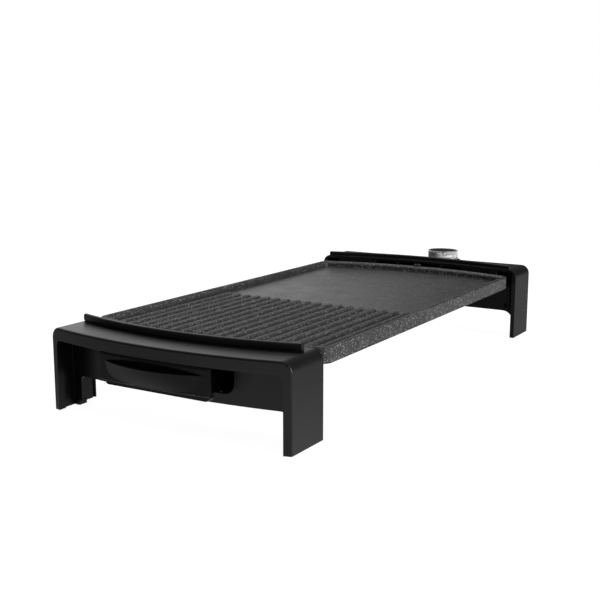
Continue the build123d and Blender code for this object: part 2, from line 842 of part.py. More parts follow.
# Rear stand, with a ridge along the plate's far edge
with BuildPart() as rear_ridge:
    with BuildSketch(Plane.XY.offset(rear_deck_z)):
        add(bowed_strip(1, ridge_reach, lip_bow_radius, lip_thickness, ridge_half))
    extrude(amount=ridge_height)
    fillet(rear_ridge.edges().filter_by(Axis.Z), radius=lip_round)
    fillet(rear_ridge.faces().sort_by(Axis.Z)[-1].edges(), radius=lip_round)

with BuildPart() as rear_stand:
    with BuildSketch(Plane.XZ.offset(-(griddle_y + stand_outer))):
        add(stand_section(rear_half, rear_deck_z))
    extrude(amount=stand_depth)
    rear_outline = rear_stand.faces().sort_by(Axis.Y)[-1].edges().sort_by(Axis.Z)[1:]
    fillet(rear_outline, radius=stand_edge_round)
    # Hollow, open below and towards the plate
    with BuildSketch(Plane.XY):
        with Locations((0, griddle_y + stand_inner + (stand_depth - wall_depth - overlap) / 2)):
            Rectangle(2 * rear_inside, stand_depth - wall_depth + overlap)
    extrude(amount=rear_deck_z - stand_shell, mode=Mode.SUBTRACT)
    with BuildSketch(Plane.XZ.offset(-(griddle_y + stand_outer))):
        add(arch_section(rear_half - pillar_width, fascia_base_z, fascia_corner_round))
    extrude(amount=skirt_setback, mode=Mode.SUBTRACT)
    with BuildSketch(Plane.XZ.offset(-(griddle_y + stand_outer))):
        add(arch_section(rear_half - pillar_width, skirt_base_z, fascia_corner_round))
    extrude(amount=stand_depth, mode=Mode.SUBTRACT)
    with BuildSketch(Plane.XZ.offset(-(griddle_y + stand_outer))):
        with Locations((0, terminal_z)):
            RectangleRounded(window_width, window_height, radius=neck_corner + window_gap)
    extrude(amount=wall_depth, mode=Mode.SUBTRACT)
    # Rear pillars of the legs, bosses for the feet and grooves for the inner cover
    with BuildSketch(Plane.XY.offset(foot_proud)):
        with Locations((0, griddle_y + pillar_middle)):
            with GridLocations(2 * (rear_inside + overlap) - pillar_inset, 1, 2, 1):
                Rectangle(pillar_inset, pillar_depth)
    extrude(amount=rear_deck_z - stand_shell - foot_proud)
    with BuildSketch(Plane.XY.offset(foot_proud)):
        add(foot_boss_plan(1, rear_half))
    extrude(amount=foot_boss_height)
    with BuildSketch(Plane.XY.offset(foot_proud)):
        add(foot_seat_plan(1, rear_half))
    extrude(amount=foot_recess, mode=Mode.SUBTRACT)
    with BuildSketch(Plane.XZ.offset(-(griddle_y + cover_front - seat_gap))):
        add(cover_groove_section(rear_half))
    extrude(amount=-(cover_thickness + 2 * seat_gap), mode=Mode.SUBTRACT)
    # Well for the plate, with its wall, lug bosses and cover bosses
    with BuildSketch(Plane.XY.offset(plate_base_z)):
        add(plate_plan(-well_gap))
    extrude(amount=plate_height + 2 * rear_deck_rise, mode=Mode.SUBTRACT)
    with BuildSketch(Plane.XY.offset(well_base_z)):
        add(well_section(1, rear_half))
    extrude(amount=rear_deck_z - stand_shell - well_base_z)
    with BuildSketch(Plane.XY.offset(lug_boss_z)):
        with Locations((0, griddle_y + lug_end)):
            with GridLocations(2 * lug_offset, 1, 2, 1):
                Circle(plate_screw_boss_radius)
    extrude(amount=rear_deck_z - stand_shell - lug_boss_z)
    with BuildSketch(Plane.XY.offset(lug_boss_z)):
        with Locations((0, griddle_y + lug_end)):
            with GridLocations(2 * lug_offset, 1, 2, 1):
                Circle(screw_shank_radius + fit_gap)
    extrude(amount=plate_screw_bite, mode=Mode.SUBTRACT)
    with BuildSketch(Plane.XZ.offset(-(griddle_y + cover_back))):
        add(cover_boss_section(rear_half))
    extrude(amount=-cover_boss_depth)
    with BuildSketch(Plane.XZ.offset(-(griddle_y + cover_back))):
        add(cover_screw_section(rear_half, cover_screw_shank_radius + fit_gap))
    extrude(amount=-cover_screw_bite, mode=Mode.SUBTRACT)
    # Vent slots above the plate's far edge, and the way for terminals and guard
    with BuildSketch(Plane.XZ.offset(-(griddle_y + stand_inner))):
        with Locations((0, vent_base_z + vent_height / 2)):
            with GridLocations(vent_length + vent_rib, 1, vent_count, 1):
                Rectangle(vent_length, vent_height)
        with Locations((0, terminal_z)):
            Rectangle(guard_width + 2 * window_gap, guard_height + 2 * window_gap)
    extrude(amount=-(plate_end + well_gap + well_wall + overlap - stand_inner), mode=Mode.SUBTRACT)
    add(rear_ridge.part)
rear_stand.part.label = "rear_stand"
export_step(rear_stand.part, "parts/rear_stand.step")

# Inner covers of the stands, towards the plate
with BuildPart() as front_stand_cover:
    with BuildSketch(Plane.XZ.offset(-(griddle_y - cover_front))):
        add(cover_section(front_half))
        with Locations((0, tray_window_base_z + cover_window_height / 2)):
            Rectangle(cover_window_width, cover_window_height, mode=Mode.SUBTRACT)
    extrude(amount=cover_thickness)
    with BuildSketch(Plane.XZ.offset(-(griddle_y - cover_front))):
        add(cover_screw_section(front_half, cover_hole_radius))
    extrude(amount=cover_counterbore, mode=Mode.SUBTRACT)
    with BuildSketch(Plane.XZ.offset(-(griddle_y - cover_front))):
        add(cover_screw_section(front_half, cover_screw_shank_radius + running_gap))
    extrude(amount=cover_thickness, mode=Mode.SUBTRACT)
front_stand_cover.part.label = "front_stand_cover"
export_step(front_stand_cover.part, "parts/front_stand_cover.step")

with BuildPart() as rear_stand_cover:
    with BuildSketch(Plane.XZ.offset(-(griddle_y + cover_front))):
        add(cover_section(rear_half))
        with Locations((0, rear_notch_base_z + plate_base_z / 2)):
            Rectangle(guard_width + 2 * window_gap, plate_base_z, mode=Mode.SUBTRACT)
    extrude(amount=-cover_thickness)
    with BuildSketch(Plane.XZ.offset(-(griddle_y + cover_front))):
        add(cover_screw_section(rear_half, cover_hole_radius))
    extrude(amount=-cover_counterbore, mode=Mode.SUBTRACT)
    with BuildSketch(Plane.XZ.offset(-(griddle_y + cover_front))):
        add(cover_screw_section(rear_half, cover_screw_shank_radius + running_gap))
    extrude(amount=-cover_thickness, mode=Mode.SUBTRACT)
rear_stand_cover.part.label = "rear_stand_cover"
export_step(rear_stand_cover.part, "parts/rear_stand_cover.step")

# Rubber feet
for end_name, end_side, half_width in (("front", -1, front_half), ("rear", 1, rear_half)):
    for hand_name, hand_side in (("left", -1), ("right", 1)):
        foot_x = hand_side * (half_width - foot_inset)
        with BuildPart() as foot:
            with BuildSketch(Plane.XY):
                with Locations((foot_x, griddle_y + end_side * foot_boss_middle)):
                    RectangleRounded(foot_width, foot_length, radius=foot_corner)
            extrude(amount=foot_proud + foot_recess)
            fillet(foot.faces().sort_by(Axis.Z)[0].edges(), radius=foot_proud / 2)
        foot.part.label = end_name + "_" + hand_name + "_foot"
        export_step(foot.part, "parts/" + foot.part.label + ".step")

# Screws that hold the plate's lugs under the stands
with BuildPart() as plate_screws:
    with BuildSketch(Plane.XY.offset(plate_base_z)):
        with Locations((0, griddle_y)):
            with GridLocations(2 * lug_offset, 2 * lug_end, 2, 2):
                Circle(screw_head_radius)
    extrude(amount=-screw_head_height)
    with BuildSketch(Plane.XY.offset(plate_base_z)):
        with Locations((0, griddle_y)):
            with GridLocations(2 * lug_offset, 2 * lug_end, 2, 2):
                Circle(screw_shank_radius)
    extrude(amount=lug_thickness + plate_screw_bite)
plate_screws.part.label = "plate_screws"
export_step(plate_screws.part, "parts/plate_screws.step")

# Screws of the inner covers
with BuildPart() as cover_screws:
    for end_side, half_width in ((-1, front_half), (1, rear_half)):
        with BuildSketch(Plane.XZ.offset(-(griddle_y + end_side * (cover_front + cover_counterbore)))):
            add(cover_screw_section(half_width, cover_screw_head_radius))
        extrude(amount=end_side * (cover_counterbore - cover_screw_sink))
        with BuildSketch(Plane.XZ.offset(-(griddle_y + end_side * (cover_front + cover_counterbore)))):
            add(cover_screw_section(half_width, cover_screw_shank_radius))
        extrude(amount=-end_side * (cover_thickness - cover_counterbore + cover_screw_bite))
cover_screws.part.label = "cover_screws"
export_step(cover_screws.part, "parts/cover_screws.step")

# Drip tray pan
with BuildPart() as drip_tray_pan:
    with BuildSketch(Plane.XY.offset(tray_base_z)):
        with Locations((0, griddle_y - tray_middle)):
            RectangleRounded(tray_width, tray_length, radius=tray_corner_radius)
    extrude(amount=tray_top_z - tray_base_z)
    fillet(drip_tray_pan.faces().sort_by(Axis.Z)[0].edges(), radius=tray_wall)
    with BuildSketch(Plane.XY.offset(tray_top_z)):
        with Locations((0, griddle_y - tray_middle)):
            RectangleRounded(
                tray_width - 2 * tray_wall,
                tray_length - 2 * tray_wall,
                radius=tray_corner_radius - tray_wall,
            )
    extrude(amount=-(tray_top_z - tray_base_z - tray_wall), mode=Mode.SUBTRACT)
    # Strip below the drawer front
    with BuildSketch(Plane.XZ.offset(-(griddle_y - drawer_back + tray_corner_radius))):
        with Locations((0, tray_strip_base_z + tray_strip_height / 2)):
            Rectangle(tray_strip_width, tray_strip_height)
    extrude(amount=tray_corner_radius + tray_strip_reach)
    strip_base = drip_tray_pan.faces().sort_by(Axis.Z)[0]
    fillet(strip_base.edges().filter_by(Axis.Y), radius=tray_strip_round)
drip_tray_pan.part.label = "drip_tray_pan"
export_step(drip_tray_pan.part, "parts/drip_tray_pan.step")

# Drip tray front with its crescent pull
with BuildPart() as drip_tray_front:
    with BuildSketch(Plane.XY.offset(drawer_base_z)):
        add(bowed_strip(-1, drawer_apex, drawer_bow_radius, drawer_thickness, drawer_width / 2))
    extrude(amount=drawer_height)
    fillet(drip_tray_front.faces().sort_by(Axis.Y)[0].edges(), radius=drawer_edge_round)
    # Box behind the panel that closes the finger pocket and meets the pan
    with BuildSketch(Plane.XY.offset(drawer_base_z)):
        add(
            bowed_area(
                drawer_back + seat_gap,
                drawer_apex - drawer_thickness / 2,
                drawer_bow_radius - drawer_thickness / 2,
                pocket_half + drawer_box_margin,
            )
        )
    extrude(amount=drawer_height)
    # Crescent pull
    with BuildSketch(Plane.XY.offset(pull_base_z)):
        add(crescent(pull_width / 2, pull_root, seat_gap))
    with BuildSketch(Plane.XY.offset((pull_base_z + pull_top_z) / 2)):
        add(crescent(pull_width / 2, pull_root, pull_belly))
    with BuildSketch(Plane.XY.offset(pull_top_z)):
        add(crescent(pull_width / 2, pull_root, pull_depth))
    loft()
    # Finger pocket behind the pull and its mouth above
    with BuildSketch(Plane.XY.offset(pull_top_z - pull_pocket_height)):
        add(crescent(pocket_half, pocket_back, -pull_lip))
    with BuildSketch(Plane.XY.offset(pull_top_z)):
        add(crescent(pocket_half, pocket_back, pull_depth - pull_lip))
    loft(mode=Mode.SUBTRACT)
    with BuildSketch(Plane.XZ.offset(-(griddle_y - pocket_back))):
        with BuildLine():
            mouth_base = Line((-pocket_half, pull_top_z), (pocket_half, pull_top_z))
            ThreePointArc(mouth_base @ 0, (0, pull_top_z + pull_mouth_height), mouth_base @ 1)
        make_face()
    extrude(amount=drawer_apex + pull_depth - pocket_back, mode=Mode.SUBTRACT)
drip_tray_front.part.label = "drip_tray_front"
export_step(drip_tray_front.part, "parts/drip_tray_front.step")

# Lower shell of the thermostat
with BuildPart() as thermostat_lower_shell:
    with BuildSketch(Plane.XY.offset(housing_base_z)):
        add(housing_plan(0))
    extrude(amount=terminal_z - housing_base_z)
    fillet(thermostat_lower_shell.faces().sort_by(Axis.Z)[0].edges(), radius=housing_edge_round)
    with BuildSketch(Plane.XY.offset(neck_base_z)):
        add(neck_plan(0))
    extrude(amount=terminal_z - neck_base_z)
    with BuildSketch(Plane.XY.offset(housing_base_z + housing_wall)):
        add(housing_plan(housing_wall))
    extrude(amount=terminal_z - housing_base_z, mode=Mode.SUBTRACT)
    with BuildSketch(Plane.XY.offset(neck_base_z + housing_wall)):
        add(neck_plan(housing_wall))
    extrude(amount=terminal_z - neck_base_z, mode=Mode.SUBTRACT)
    with BuildSketch(Plane.XY.offset(housing_base_z)):
        with Locations(shell_screw_places):
            Circle(shell_screw_boss_radius)
    extrude(amount=terminal_z - housing_base_z)
    with BuildSketch(Plane.XY.offset(housing_base_z)):
        with Locations(shell_screw_places):
            Circle(shell_screw_radius + running_gap)
    extrude(amount=terminal_z - housing_base_z, mode=Mode.SUBTRACT)
    with BuildSketch(Plane.XY.offset(housing_base_z)):
        with Locations(shell_screw_places):
            Circle(shell_screw_head_radius + seat_gap)
    extrude(amount=shell_screw_sink, mode=Mode.SUBTRACT)
    with BuildSketch(Plane.XZ.offset(-(griddle_y + neck_front))):
        add(socket_section())
    extrude(amount=-2 * housing_wall, mode=Mode.SUBTRACT)
    with BuildSketch(Plane.XZ.offset(-(griddle_y + housing_end))):
        with Locations((0, terminal_z)):
            Circle(gland_radius + fit_gap)
    extrude(amount=2 * housing_wall, mode=Mode.SUBTRACT)
thermostat_lower_shell.part.label = "thermostat_lower_shell"
export_step(thermostat_lower_shell.part, "parts/thermostat_lower_shell.step")

# Upper shell of the thermostat
with BuildPart() as thermostat_upper_shell:
    with BuildSketch(Plane.XY.offset(terminal_z)):
        add(housing_plan(0))
    extrude(amount=housing_top_z - terminal_z)
    fillet(thermostat_upper_shell.faces().sort_by(Axis.Z)[-1].edges(), radius=housing_edge_round)
    with BuildSketch(Plane.XY.offset(terminal_z)):
        add(neck_plan(0))
    extrude(amount=neck_height / 2)
    with BuildSketch(Plane.XY.offset(terminal_z)):
        add(housing_plan(housing_wall))
    extrude(amount=housing_top_z - housing_wall - terminal_z, mode=Mode.SUBTRACT)
    with BuildSketch(Plane.XY.offset(terminal_z)):
        add(neck_plan(housing_wall))
    extrude(amount=neck_height / 2 - housing_wall, mode=Mode.SUBTRACT)
    with BuildSketch(Plane.XY.offset(terminal_z)):
        with Locations(shell_screw_places):
            Circle(shell_screw_boss_radius)
    extrude(amount=housing_top_z - housing_wall / 2 - terminal_z)
    with BuildSketch(Plane.XY.offset(terminal_z)):
        with Locations(shell_screw_places):
            Circle(shell_screw_radius + fit_gap)
    extrude(amount=shell_screw_bite, mode=Mode.SUBTRACT)
    with BuildSketch(Plane.XY.offset(housing_top_z)):
        with Locations((0, griddle_y + knob_reach)):
            Circle(shaft_radius + running_gap)
        with Locations((0, griddle_y + lens_reach)):
            Circle(lens_radius + fit_gap)
    extrude(amount=-housing_wall, mode=Mode.SUBTRACT)
    with BuildSketch(Plane.XZ.offset(-(griddle_y + neck_front))):
        add(socket_section())
    extrude(amount=-2 * housing_wall, mode=Mode.SUBTRACT)
    with BuildSketch(Plane.XZ.offset(-(griddle_y + housing_end))):
        with Locations((0, terminal_z)):
            Circle(gland_radius + fit_gap)
    extrude(amount=2 * housing_wall, mode=Mode.SUBTRACT)
thermostat_upper_shell.part.label = "thermostat_upper_shell"
export_step(thermostat_upper_shell.part, "parts/thermostat_upper_shell.step")

# Contact block in the neck of the thermostat
with BuildPart() as contact_block:
    with BuildSketch(Plane.XZ.offset(-(griddle_y + block_front))):
        with Locations((0, terminal_z)):
            Rectangle(block_width, block_height)
            with GridLocations(terminal_spacing, 1, 2, 1):
                Circle(sleeve_radius + fit_gap, mode=Mode.SUBTRACT)
            Circle(probe_radius + fit_gap, mode=Mode.SUBTRACT)
    extrude(amount=-block_length)
contact_block.part.label = "contact_block"
export_step(contact_block.part, "parts/contact_block.step")

# Sleeves that grip the terminal pins
with BuildPart() as contact_sleeves:
    with BuildSketch(Plane.XZ.offset(-(griddle_y + block_front))):
        with Locations((0, terminal_z)):
            with GridLocations(terminal_spacing, 1, 2, 1):
                Circle(sleeve_radius)
                Circle(pin_radius + fit_gap, mode=Mode.SUBTRACT)
    extrude(amount=-sleeve_length)
contact_sleeves.part.label = "contact_sleeves"
export_step(contact_sleeves.part, "parts/contact_sleeves.step")

# Probe that feels the plate's heat
with BuildPart() as thermostat_probe:
    with BuildSketch(Plane.XZ.offset(-(griddle_y + block_front + block_length))):
        with Locations((0, terminal_z)):
            Circle(probe_radius)
    extrude(amount=block_front + block_length - probe_tip)
    fillet(thermostat_probe.faces().sort_by(Axis.Y)[0].edges(), radius=probe_radius / 2)
    with BuildSketch(Plane.XZ.offset(-(griddle_y + block_front + block_length))):
        with Locations((0, terminal_z)):
            Circle(probe_flange_radius)
    extrude(amount=-probe_flange_length)
thermostat_probe.part.label = "thermostat_probe"
export_step(thermostat_probe.part, "parts/thermostat_probe.step")

# Switch under the knob
with BuildPart() as thermostat_switch:
    with BuildSketch(Plane.XY.offset(housing_base_z + housing_wall)):
        with Locations((0, griddle_y + knob_reach)):
            RectangleRounded(switch_width, switch_length, radius=switch_width / 8)
    extrude(amount=switch_top_z - housing_base_z - housing_wall)
thermostat_switch.part.label = "thermostat_switch"
export_step(thermostat_switch.part, "parts/thermostat_switch.step")

# Screws that close the thermostat from below
with BuildPart() as thermostat_screws:
    with BuildSketch(Plane.XY.offset(housing_base_z + shell_screw_sink)):
        with Locations(shell_screw_places):
            Circle(shell_screw_head_radius)
    extrude(amount=-shell_screw_head_height)
    with BuildSketch(Plane.XY.offset(housing_base_z + shell_screw_sink)):
        with Locations(shell_screw_places):
            Circle(shell_screw_radius)
    extrude(amount=terminal_z + shell_screw_bite - housing_base_z - shell_screw_sink)
thermostat_screws.part.label = "thermostat_screws"
export_step(thermostat_screws.part, "parts/thermostat_screws.step")

# Pilot lens in the upper shell
with BuildPart() as pilot_lens:
    with BuildSketch(Plane.XY.offset(housing_top_z - housing_wall)):
        with Locations((0, griddle_y + lens_reach)):
            Circle(lens_radius)
    extrude(amount=housing_wall + lens_proud)
    fillet(pilot_lens.faces().sort_by(Axis.Z)[-1].edges(), radius=lens_round)
pilot_lens.part.label = "pilot_lens"
export_step(pilot_lens.part, "parts/pilot_lens.step")

# Cord inlet: a plain gland in the end of the housing
with BuildPart() as cord_gland:
    with BuildSketch(Plane.XZ.offset(-(griddle_y + gland_inner_end))):
        with Locations((0, terminal_z)):
            Circle(gland_flange_radius)
    extrude(amount=-gland_flange_length)
    with BuildSketch(Plane.XZ.offset(-(griddle_y + gland_inner_end))):
        with Locations((0, terminal_z)):
            Circle(gland_radius)
    extrude(amount=-(rear_reach - gland_inner_end))
    fillet(cord_gland.faces().sort_by(Axis.Y)[-1].edges(), radius=gland_edge_round)
    with BuildSketch(Plane.XZ.offset(-(griddle_y + gland_inner_end))):
        with Locations((0, terminal_z)):
            Circle(gland_bore_radius)
    extrude(amount=-(rear_reach - gland_inner_end), mode=Mode.SUBTRACT)
cord_gland.part.label = "cord_gland"
export_step(cord_gland.part, "parts/cord_gland.step")

# Control shaft, flattened where the knob sits on it
with BuildPart() as control_shaft:
    with BuildSketch(Plane.XY.offset(switch_top_z + running_gap)):
        with Locations((0, griddle_y + knob_reach)):
            Circle(shaft_radius)
    extrude(amount=shaft_top_z - switch_top_z - running_gap)
    with BuildSketch(Plane.XY.offset(knob_base_z)):
        with Locations((0, griddle_y + knob_reach - 2 * shaft_radius + shaft_flat)):
            Rectangle(2 * shaft_radius, 2 * shaft_radius)
    extrude(amount=knob_height, mode=Mode.SUBTRACT)
control_shaft.part.label = "control_shaft"
export_step(control_shaft.part, "parts/control_shaft.step")

# Knob body with a dished top and a hub on the shaft
with BuildPart() as knob_body:
    with BuildSketch(Plane.XZ.offset(-(griddle_y + knob_reach))):
        with BuildLine():
            Polyline(
                (0, knob_top_z - knob_disc),
                (0, knob_base_z),
                (knob_hub_radius, knob_base_z),
                (knob_hub_radius, knob_top_z - knob_disc),
                (knob_bore_radius - fit_gap, knob_top_z - knob_disc),
                (knob_bore_radius - fit_gap, knob_top_z - knob_rim / 2),
            )
            TangentArc(
                (0, knob_top_z - knob_dish),
                (knob_bore_radius - fit_gap, knob_top_z - knob_rim / 2),
                tangent=(1, 0),
            )
            Line((0, knob_top_z - knob_dish), (0, knob_top_z - knob_disc))
        make_face()
    revolve(axis=Axis((0, griddle_y + knob_reach, 0), (0, 0, 1)))
    with BuildSketch(Plane.XY.offset(knob_base_z)):
        with Locations((0, griddle_y + knob_reach)):
            Circle(shaft_radius + fit_gap)
            with Locations((0, -2 * shaft_radius + shaft_flat - fit_gap)):
                Rectangle(2 * shaft_radius, 2 * shaft_radius, mode=Mode.SUBTRACT)
    extrude(amount=shaft_bite + running_gap, mode=Mode.SUBTRACT)
knob_body.part.label = "knob_body"
export_step(knob_body.part, "parts/knob_body.step")

# Ribbed metal ring round the knob
with BuildPart() as knob_ring:
    with BuildSketch(Plane.XY.offset(knob_base_z)):
        with Locations((0, griddle_y + knob_reach)):
            Circle(knob_radius)
            Circle(knob_bore_radius, mode=Mode.SUBTRACT)
    extrude(amount=knob_height)
    with BuildSketch(Plane.XY.offset(knob_base_z + knob_band)):
        with Locations((0, griddle_y + knob_reach)):
            with PolarLocations(knob_radius, knob_rib_count):
                Rectangle(2 * knob_rib_depth, pi * knob_radius / knob_rib_count)
    extrude(amount=knob_height - knob_band - knob_rim, mode=Mode.SUBTRACT)
knob_ring.part.label = "knob_ring"
export_step(knob_ring.part, "parts/knob_ring.step")
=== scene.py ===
# Electric griddle: materials, small fittings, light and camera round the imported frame
import json
import math

import bmesh
import bpy
from mathutils import Matrix, Vector


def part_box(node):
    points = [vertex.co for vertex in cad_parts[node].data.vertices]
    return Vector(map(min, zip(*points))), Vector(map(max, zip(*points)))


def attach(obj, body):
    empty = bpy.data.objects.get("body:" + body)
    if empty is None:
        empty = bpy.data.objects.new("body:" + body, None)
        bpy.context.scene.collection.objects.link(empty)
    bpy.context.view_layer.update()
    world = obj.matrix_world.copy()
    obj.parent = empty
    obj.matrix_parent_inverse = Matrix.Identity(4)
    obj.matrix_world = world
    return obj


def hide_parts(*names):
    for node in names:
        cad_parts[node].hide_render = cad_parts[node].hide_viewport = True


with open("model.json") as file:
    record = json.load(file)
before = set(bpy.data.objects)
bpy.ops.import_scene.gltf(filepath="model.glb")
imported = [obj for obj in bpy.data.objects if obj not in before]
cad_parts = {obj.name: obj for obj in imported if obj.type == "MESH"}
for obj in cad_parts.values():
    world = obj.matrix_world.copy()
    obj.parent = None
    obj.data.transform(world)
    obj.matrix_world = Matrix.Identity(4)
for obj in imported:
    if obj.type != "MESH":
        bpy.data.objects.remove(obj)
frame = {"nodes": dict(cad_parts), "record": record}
nodes = frame["nodes"]
slotOf = {part["node"]: part["material_slot"] for part in frame["record"]["subparts"]}
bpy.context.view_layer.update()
millimetre = 0.001
toneSpan = (0.3, 0.7)  # the part of a noise that carries most of its change


# Shader helpers

def addNode(tree, kind, **settings):
    node = tree.nodes.new(kind)
    for key, value in settings.items():
        setattr(node, key, value)
    return node


def feed(tree, source, target):
    tree.links.new(source, target)


def newGroup(name, inputs, outputs):
    group = bpy.data.node_groups.new(name, "ShaderNodeTree")
    for label, value in inputs.items():
        socket = group.interface.new_socket(name=label, in_out="INPUT", socket_type="NodeSocketFloat")
        socket.default_value = value
    for label, kind in outputs.items():
        group.interface.new_socket(name=label, in_out="OUTPUT", socket_type=kind)
    return group, group.nodes.new("NodeGroupInput"), group.nodes.new("NodeGroupOutput")


def objectNoise(tree, scale, detail):
    place = addNode(tree, "ShaderNodeTexCoord")
    noise = addNode(tree, "ShaderNodeTexNoise")
    feed(tree, place.outputs["Object"], noise.inputs["Vector"])
    noise.inputs["Detail"].default_value = detail
    if isinstance(scale, (int, float)):
        noise.inputs["Scale"].default_value = scale
    else:
        feed(tree, scale, noise.inputs["Scale"])
    return noise.outputs[0]


def mapRange(tree, value, fromLow, fromHigh, toLow, toHigh):
    node = addNode(tree, "ShaderNodeMapRange")
    feed(tree, value, node.inputs[0])
    for index, limit in enumerate((fromLow, fromHigh, toLow, toHigh), start=1):
        if isinstance(limit, (int, float)):
            node.inputs[index].default_value = limit
        else:
            feed(tree, limit, node.inputs[index])
    return node.outputs[0]


def calculate(tree, operation, first, second):
    node = addNode(tree, "ShaderNodeMath", operation=operation)
    for index, value in enumerate((first, second)):
        if isinstance(value, (int, float)):
            node.inputs[index].default_value = value
        else:
            feed(tree, value, node.inputs[index])
    return node.outputs[0]


def mixColours(tree, factor, first, second):
    node = addNode(tree, "ShaderNodeMix", data_type="RGBA")
    feed(tree, factor, node.inputs[0])
    for index, colour in ((6, first), (7, second)):
        if isinstance(colour, tuple):
            node.inputs[index].default_value = (*colour, 1)
        else:
            feed(tree, colour, node.inputs[index])
    return node.outputs[2]


# Fine moulded grain: a height for bump and a slow tone for colour and gloss
def makeMouldGrain():
    group, given, result = newGroup(
        "mouldGrain",
        {"Grain Scale": 1500, "Tone Scale": 14},
        {"Height": "NodeSocketFloat", "Tone": "NodeSocketFloat"},
    )
    feed(group, objectNoise(group, given.outputs["Grain Scale"], 2), result.inputs["Height"])
    feed(group, objectNoise(group, given.outputs["Tone Scale"], 4), result.inputs["Tone"])
    return group


# Stone flecks: each cell of a fine pattern is a fleck or not, by chance
fleck = dict(softEdge=1.4, faintest=0.45)


def makeStoneFlecks():
    group, given, result = newGroup(
        "stoneFlecks",
        {"Fleck Scale": 700, "Share": 0.1, "Fill": 0.5},
        {"Mask": "NodeSocketFloat"},
    )
    place = addNode(group, "ShaderNodeTexCoord")
    cells = addNode(group, "ShaderNodeTexVoronoi")
    feed(group, place.outputs["Object"], cells.inputs["Vector"])
    feed(group, given.outputs["Fleck Scale"], cells.inputs["Scale"])
    chance = addNode(group, "ShaderNodeSeparateColor")
    feed(group, cells.outputs["Color"], chance.inputs[0])
    chosen = calculate(group, "LESS_THAN", chance.outputs[0], given.outputs["Share"])
    edge = calculate(group, "MULTIPLY", given.outputs["Fill"], fleck["softEdge"])
    body = mapRange(group, cells.outputs["Distance"], given.outputs["Fill"], edge, 1, 0)
    bright = mapRange(group, chance.outputs[1], 0, 1, fleck["faintest"], 1)
    shape = calculate(group, "MULTIPLY", chosen, body)
    feed(group, calculate(group, "MULTIPLY", shape, bright), result.inputs["Mask"])
    return group


# Drawn or turned metal: a streaky height and tone
def makeMetalGrain():
    group, given, result = newGroup(
        "metalGrain",
        {"Along X": 1, "Along Y": 1, "Along Z": 1, "Streak Scale": 900},
        {"Height": "NodeSocketFloat", "Tone": "NodeSocketFloat"},
    )
    place = addNode(group, "ShaderNodeTexCoord")
    stretch = addNode(group, "ShaderNodeCombineXYZ")
    for index, label in enumerate(("Along X", "Along Y", "Along Z")):
        feed(group, given.outputs[label], stretch.inputs[index])
    scaled = addNode(group, "ShaderNodeVectorMath", operation="MULTIPLY")
    feed(group, place.outputs["Object"], scaled.inputs[0])
    feed(group, stretch.outputs[0], scaled.inputs[1])
    streaks = addNode(group, "ShaderNodeTexNoise")
    feed(group, scaled.outputs[0], streaks.inputs["Vector"])
    feed(group, given.outputs["Streak Scale"], streaks.inputs["Scale"])
    streaks.inputs["Detail"].default_value = 3
    feed(group, streaks.outputs[0], result.inputs["Height"])
    feed(group, objectNoise(group, 40, 3), result.inputs["Tone"])
    return group


mouldGrain = makeMouldGrain()
stoneFlecks = makeStoneFlecks()
metalGrain = makeMetalGrain()
print("shader groups: mould grain, stone flecks, metal grain")


def useGroup(tree, group, **values):
    node = addNode(tree, "ShaderNodeGroup", node_tree=group)
    for label, value in values.items():
        node.inputs[label.replace("_", " ")].default_value = value
    return node


# A material with its Principled shader and a Normal that rounds sharp edges a little
def newMaterial(name, specular, edge):
    material = bpy.data.materials.new(name)
    material.use_nodes = True
    tree = material.node_tree
    shader = tree.nodes["Principled BSDF"]
    shader.inputs["Specular IOR Level"].default_value = specular
    rounded = addNode(tree, "ShaderNodeBevel", samples=6)
    rounded.inputs["Radius"].default_value = edge * millimetre
    return material, tree, shader, rounded.outputs[0]


def addBump(tree, shader, height, normal, strength, depth):
    bump = addNode(tree, "ShaderNodeBump")
    bump.inputs["Strength"].default_value = strength
    bump.inputs["Distance"].default_value = depth * millimetre
    feed(tree, height, bump.inputs["Height"])
    feed(tree, normal, bump.inputs["Normal"])
    feed(tree, bump.outputs[0], shader.inputs["Normal"])


# Black mouldings and rubber
mouldDepth = 0.05
mouldings = {
    "stand_plastic": dict(
        dark=(0.0028, 0.0028, 0.003), light=(0.0046, 0.0046, 0.0048), gloss=(0.36, 0.44),
        specular=0.28, grain=1500, bump=0.05, edge=0.6,
    ),
    "cover_plastic": dict(
        dark=(0.003, 0.003, 0.0032), light=(0.005, 0.005, 0.0052), gloss=(0.42, 0.50),
        specular=0.20, grain=1300, bump=0.10, edge=0.5,
    ),
    "tray_plastic": dict(
        dark=(0.003, 0.003, 0.0032), light=(0.005, 0.005, 0.0052), gloss=(0.34, 0.42),
        specular=0.12, grain=1600, bump=0.05, edge=0.5,
    ),
    "housing_plastic": dict(
        dark=(0.004, 0.004, 0.0042), light=(0.006, 0.006, 0.0062), gloss=(0.34, 0.42),
        specular=0.20, grain=1500, bump=0.08, edge=0.5,
    ),
    "block_plastic": dict(
        dark=(0.10, 0.065, 0.035), light=(0.15, 0.10, 0.055), gloss=(0.55, 0.65),
        specular=0.35, grain=900, bump=0.12, edge=0.4,
    ),
    "knob_plastic": dict(
        dark=(0.003, 0.003, 0.0032), light=(0.005, 0.005, 0.0052), gloss=(0.42, 0.50),
        specular=0.07, grain=1800, bump=0.05, edge=0.4,
    ),
    "foot_rubber": dict(
        dark=(0.012, 0.012, 0.012), light=(0.020, 0.020, 0.020), gloss=(0.75, 0.85),
        specular=0.20, grain=1100, bump=0.20, edge=0.3,
    ),
    "gland_rubber": dict(
        dark=(0.010, 0.010, 0.010), light=(0.016, 0.016, 0.016), gloss=(0.65, 0.75),
        specular=0.22, grain=1200, bump=0.18, edge=0.4,
    ),
}


